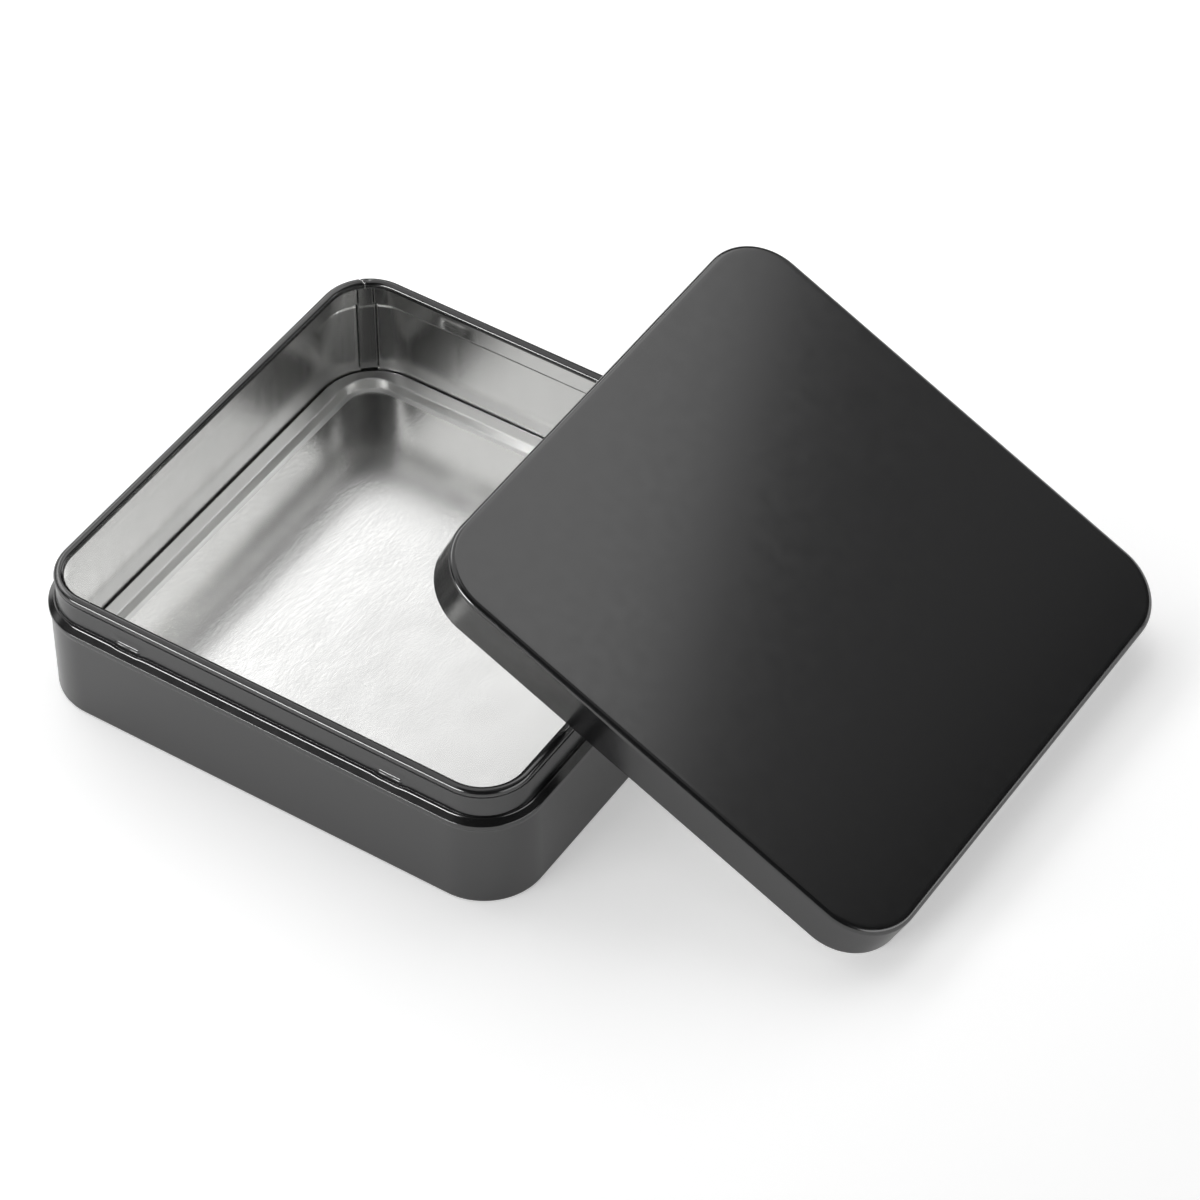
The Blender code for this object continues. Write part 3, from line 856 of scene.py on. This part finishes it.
# %% [markdown]
# ## Floor and light
#
# The tin stands on a white table. What its surfaces show is mostly the lamps that they mirror,
# so each lamp has its task. The four overhead lamps, brightest at the far left, are mirrored by
# the tin's floor and the lid's top, and a smaller one closer by gives the lid's left half its
# soft bright field. Two strips at the front left draw the thin bright lines along curl and
# shoulder. The lamps at the left, the right and the back give the walls their tones.
#
# The room is dim, but the camera sees it white, and for the camera the table also glows, fully
# only away from the tin, so that the tin's soft shadow stays.

# %% Table
table_size = 3.0
table_drop = 0.05 * mm
table_white = 0.9
table_roughness = 0.9
glow_from, glow_to = 0.3, 0.8
glow_by_tin, glow_away = 0.4, 1.0
glow_mirrored = 0.22

square = ((-1, -1), (1, -1), (1, 1), (-1, 1))
table_corners = [(x * table_size, y * table_size, -table_drop) for x, y in square]
table = bpy.data.objects.new("table", bpy.data.meshes.new("table"))
table.data.from_pydata(table_corners, [], [(0, 1, 2, 3)])
bpy.context.scene.collection.objects.link(table)


def table_material():
    """White and dull, with a glow: camera ray * fade + glossy ray * a small share.

    The fade rises with the distance from the tin, from glow_by_tin to glow_away.
    """
    material = bpy.data.materials.new("white_table")
    material.use_nodes = True
    nodes, links = material.node_tree.nodes, material.node_tree.links
    shader = nodes["Principled BSDF"]
    shader.inputs["Base Color"].default_value = (table_white, table_white, table_white, 1)
    shader.inputs["Roughness"].default_value = table_roughness
    shader.inputs["Specular IOR Level"].default_value = 0
    shader.inputs["Emission Color"].default_value = (1, 1, 1, 1)
    rays = nodes.new("ShaderNodeLightPath")
    place = nodes.new("ShaderNodeTexCoord")
    away = nodes.new("ShaderNodeVectorMath")
    away.operation = "LENGTH"
    fade = nodes.new("ShaderNodeMapRange")
    fade.inputs["From Min"].default_value = glow_from
    fade.inputs["From Max"].default_value = glow_to
    fade.inputs["To Min"].default_value = glow_by_tin
    fade.inputs["To Max"].default_value = glow_away
    seen = nodes.new("ShaderNodeMath")
    seen.operation = "MULTIPLY"
    glow = nodes.new("ShaderNodeMath")
    glow.operation = "MULTIPLY_ADD"
    glow.inputs[1].default_value = glow_mirrored
    links.new(place.outputs["Object"], away.inputs[0])
    links.new(away.outputs["Value"], fade.inputs["Value"])
    links.new(fade.outputs["Result"], seen.inputs[1])
    links.new(rays.outputs["Is Camera Ray"], seen.inputs[0])
    links.new(rays.outputs["Is Glossy Ray"], glow.inputs[0])
    links.new(seen.outputs[0], glow.inputs[2])
    links.new(glow.outputs[0], shader.inputs["Emission Strength"])
    return material


table.data.materials.append(table_material())
print("table", table_size * 2, "m wide")

# %% Lamps and room
down, to_right, to_left = (0, 0, -1), (1, 0, 0), (-1, 0, 0)
to_back, to_front = (0, 1, 0), (0, -1, 0)
near_spin = math.radians(29)
room_light, room_seen = 0.012, 1.0

# Each row: name, centre, direction, width and length in metres, radiance, and a turn if it has one.
softboxes = (
    ("overhead_far", (-0.9, 0.4, 0.8), down, (0.6, 1.4), 3.0),
    ("overhead_main", (-0.25, 0.4, 0.8), down, (0.7, 1.4), 0.74),
    ("overhead_front", (-0.7, -0.6, 0.8), down, (1.0, 0.6), 0.75),
    ("overhead_edge", (0.35, 0.4, 0.8), down, (0.5, 1.4), 0.2),
    ("near", (0.054, 0.327, 0.42), down, (0.3, 0.48), 1.0, near_spin),
    ("front_strip", (-0.45, -1.1, 0.34), to_back, (0.9, 0.2), 15.0),
    ("front_low", (-0.45, -1.1, 0.15), to_back, (0.9, 0.1), 2.0),
    ("left", (-1.25, 0.1, 0.55), to_right, (1.4, 0.4), 1.0),
    ("right", (1.7, 0.2, 0.4), to_left, (2.2, 0.7), 2.2),
    ("back_right", (0.9, 1.6, 0.4), to_front, (1.6, 0.7), 1.5),
)


def softbox(name, centre, direction, size, radiance, spin=0.0):
    """A rectangle lamp that shines along direction; its power is pi times radiance times area."""
    light = bpy.data.lights.new(name, "AREA")
    light.shape = "RECTANGLE"
    light.size, light.size_y = size
    light.energy = math.pi * radiance * size[0] * size[1]
    lamp = bpy.data.objects.new(name, light)
    bpy.context.scene.collection.objects.link(lamp)
    lamp.location = centre
    aim = Vector(direction).to_track_quat("-Z", "Y")
    lamp.rotation_euler = (aim @ Quaternion((0, 0, 1), spin)).to_euler()


for row in softboxes:
    softbox(*row)
world = bpy.data.worlds.new("room")
bpy.context.scene.world = world
world.use_nodes = True
background = world.node_tree.nodes["Background"]
background.inputs["Color"].default_value = (1, 1, 1, 1)
room_rays = world.node_tree.nodes.new("ShaderNodeLightPath")
room_level = world.node_tree.nodes.new("ShaderNodeMapRange")
room_level.inputs["To Min"].default_value = room_light
room_level.inputs["To Max"].default_value = room_seen
world.node_tree.links.new(room_rays.outputs["Is Camera Ray"], room_level.inputs["Value"])
world.node_tree.links.new(room_level.outputs["Result"], background.inputs["Strength"])
bpy.context.scene.view_settings.view_transform = "Standard"

# %% [markdown]
# ## Set the pieces on the frame
#
# Each sheet rides on its body and stands for its node. The table is only a stage. The object's
# boxes before and after give the largest growth, which is printed.

# %% Ride and replace
for piece, carrier, node, slot in ((body, "body", "body_wall", "body_paint"),
                                   (plate, "body", "bottom_plate", "bare_tinplate"),
                                   (lid, "lid", "lid", "lid_paint")):
    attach(piece, carrier)
    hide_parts(node)
table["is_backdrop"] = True
seen_box = [list(corner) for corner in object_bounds()]
growth = max(abs(a - b) for c, s in zip(cad_box, seen_box) for a, b in zip(c, s))
print("largest growth", round(growth / mm, 3), "mm")
